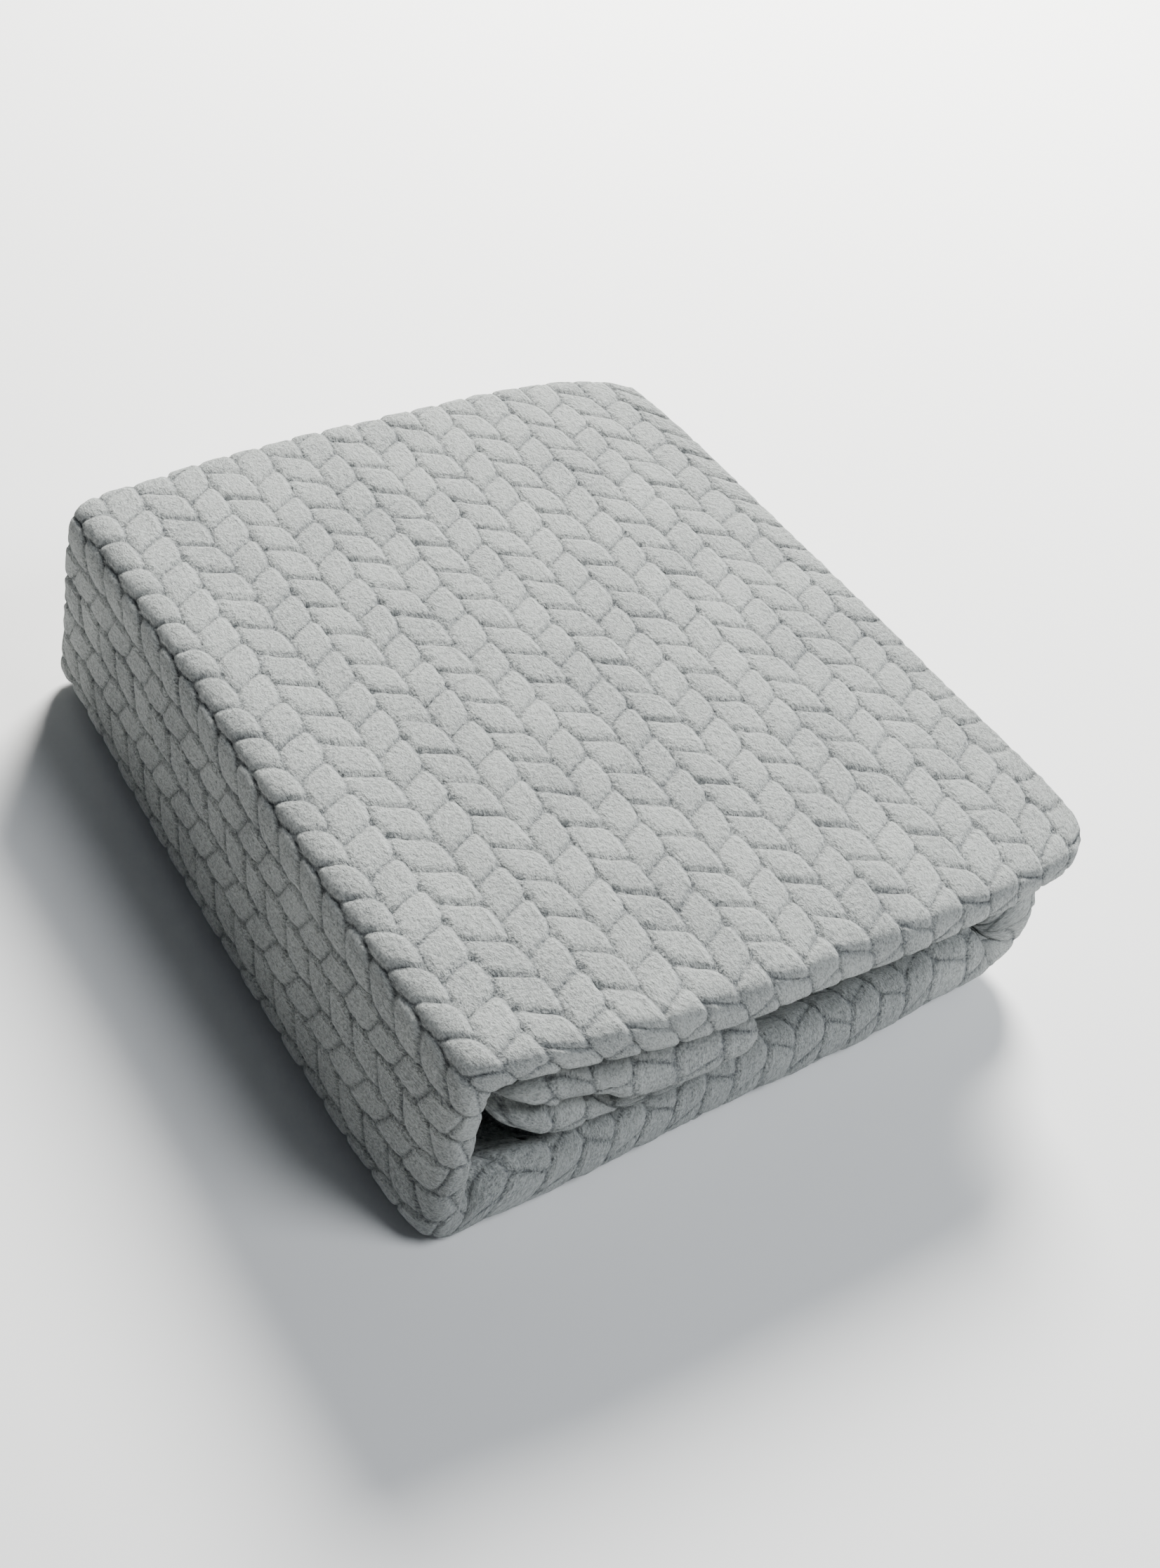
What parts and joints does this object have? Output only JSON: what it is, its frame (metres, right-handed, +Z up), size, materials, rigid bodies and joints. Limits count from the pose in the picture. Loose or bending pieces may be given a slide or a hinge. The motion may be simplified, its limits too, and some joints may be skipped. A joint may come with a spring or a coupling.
{
  "type": "folded throw blanket",
  "caption": "Soft fleece throw with an embossed braid pattern, folded into a thick rectangular pile whose cover, spine and inner flap unfold.",
  "frame": {"origin": "middle of the underside of the folded pile, on the surface that it lies on", "axes": "+Z up, +X from the spine fold to the cover's free end, +Y from the rolled front folds to the back folds"},
  "size_m": [0.354, 0.425, 0.1181],
  "materials": {
    "fleece": "brushed flannel fleece with an embossed braid, silver grey",
    "hem": "turned and stitched fleece hem, silver grey",
    "label": "plain woven satin label, blank"
  },
  "bodies": {
    "base": {"base_front_fold": "fleece", "base_inner_leaf": "fleece", "base_outer_leaf": "fleece", "base_inner_hem": "hem", "base_outer_hem": "hem", "right_turn_front_fold": "fleece", "right_turn_inner_leaf": "fleece", "right_turn_outer_leaf": "fleece", "right_turn_inner_hem": "hem", "right_turn_outer_hem": "hem", "return_front_fold": "fleece", "return_inner_leaf": "fleece", "return_outer_leaf": "fleece", "return_inner_hem": "hem", "return_outer_hem": "hem"},
    "spine": {"spine_front_fold": "fleece", "spine_inner_leaf": "fleece", "spine_outer_leaf": "fleece", "spine_inner_hem": "hem", "spine_outer_hem": "hem"},
    "cover": {"cover_front_fold": "fleece", "cover_inner_leaf": "fleece", "cover_outer_leaf": "fleece", "cover_inner_hem": "hem", "cover_outer_hem": "hem", "cover_hem_front_fold": "hem", "cover_hem_inner_leaf": "hem", "cover_hem_outer_leaf": "hem"},
    "flap": {"flap_front_fold": "fleece", "flap_inner_leaf": "fleece", "flap_outer_leaf": "fleece", "flap_inner_hem": "hem", "flap_outer_hem": "hem", "flap_hem_front_fold": "hem", "flap_hem_inner_leaf": "hem", "flap_hem_outer_leaf": "hem", "care_label": "label"}
  },
  "joints": [
    {"name": "spine_unfold", "type": "hinge", "parent": "base", "child": "spine", "pos_m": [-0.177, 0, 0], "axis": [0, -1, 0], "range_deg": [0, 90]},
    {"name": "cover_unfold", "type": "hinge", "parent": "spine", "child": "cover", "pos_m": [-0.177, 0, 0.1181], "axis": [0, -1, 0], "range_deg": [0, 90]},
    {"name": "flap_unfold", "type": "hinge", "parent": "base", "child": "flap", "pos_m": [-0.1468, 0, 0.0595], "axis": [0, -1, 0], "range_deg": [0, 180]}
  ],
  "couplings": [
    {"joint": "cover_unfold", "follows": "spine_unfold", "ratio": 1},
    {"joint": "flap_unfold", "follows": "spine_unfold", "ratio": 2}
  ]
}
